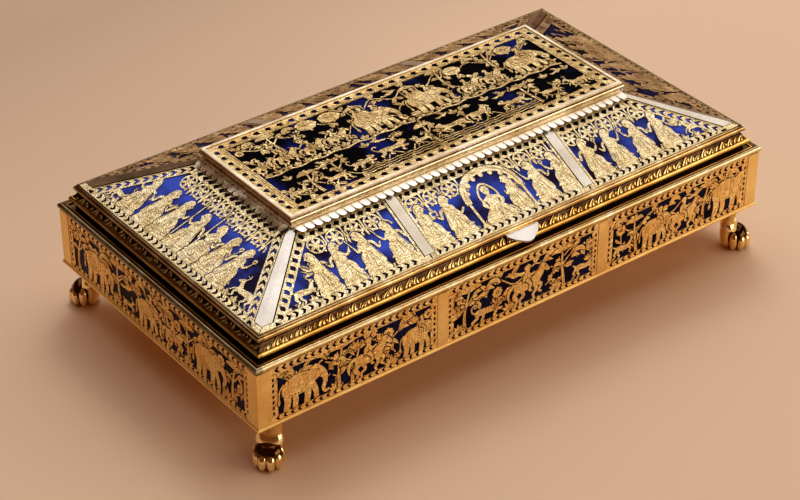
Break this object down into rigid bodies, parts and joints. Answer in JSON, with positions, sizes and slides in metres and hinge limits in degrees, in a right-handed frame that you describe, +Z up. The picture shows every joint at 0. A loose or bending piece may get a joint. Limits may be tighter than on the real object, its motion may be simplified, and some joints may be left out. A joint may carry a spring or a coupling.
{
  "type": "reliquary casket",
  "caption": "Low rectangular casket on lion-paw feet with a hipped lift-off lid; pierced gold scenes on cobalt glass plaques in gilt metal frames.",
  "frame": {"origin": "on the floor, under the middle of the casket", "axes": "+X along the long front to the right as seen from the front, +Y from the front to the back, +Z up"},
  "size_m": [0.231, 0.1326, 0.0698],
  "materials": {
    "gilt": "satin burnished gilding",
    "pale_gilt": "pale burnished gilding",
    "dark_gilt": "polished, darkened gilding",
    "silver": "bright silver where the gilding is thin",
    "cobalt_glass": "glossy deep blue over foil, with pierced gold leaf"
  },
  "bodies": {
    "root": {"case": "gilt", "base_moulding": "gilt", "rim_moulding": "dark_gilt", "corner_strip_front_left": "gilt", "pilaster_front_left": "gilt", "foot_front_left": "gilt", "hip_strip_front_left": "silver", "divider_front_left": "pale_gilt", "corner_strip_front_right": "gilt", "pilaster_front_right": "gilt", "foot_front_right": "gilt", "hip_strip_front_right": "pale_gilt", "divider_front_right": "pale_gilt", "wall_plaque_front_left": "cobalt_glass", "roof_plaque_front_left": "cobalt_glass", "wall_plaque_front_middle": "cobalt_glass", "roof_plaque_front_middle": "cobalt_glass", "wall_plaque_front_right": "cobalt_glass", "roof_plaque_front_right": "cobalt_glass", "corner_strip_back_left": "gilt", "pilaster_back_left": "gilt", "foot_back_left": "gilt", "hip_strip_back_left": "pale_gilt", "divider_back_left": "pale_gilt", "corner_strip_back_right": "gilt", "pilaster_back_right": "gilt", "foot_back_right": "gilt", "hip_strip_back_right": "pale_gilt", "divider_back_right": "pale_gilt", "wall_plaque_back_left": "cobalt_glass", "roof_plaque_back_left": "cobalt_glass", "wall_plaque_back_middle": "cobalt_glass", "roof_plaque_back_middle": "cobalt_glass", "wall_plaque_back_right": "cobalt_glass", "roof_plaque_back_right": "cobalt_glass", "wall_plaque_end_left": "cobalt_glass", "roof_plaque_end_left": "cobalt_glass", "wall_plaque_end_right": "cobalt_glass", "roof_plaque_end_right": "cobalt_glass", "cresting_front": "silver", "cresting_right": "silver", "cresting_back": "silver", "cresting_left": "silver", "lid_shell": "dark_gilt", "lid_lower_moulding": "pale_gilt", "eaves_bead": "pale_gilt", "top_frame": "gilt", "top_plaque": "cobalt_glass", "thumb_piece": "silver"}
  },
  "joints": []
}
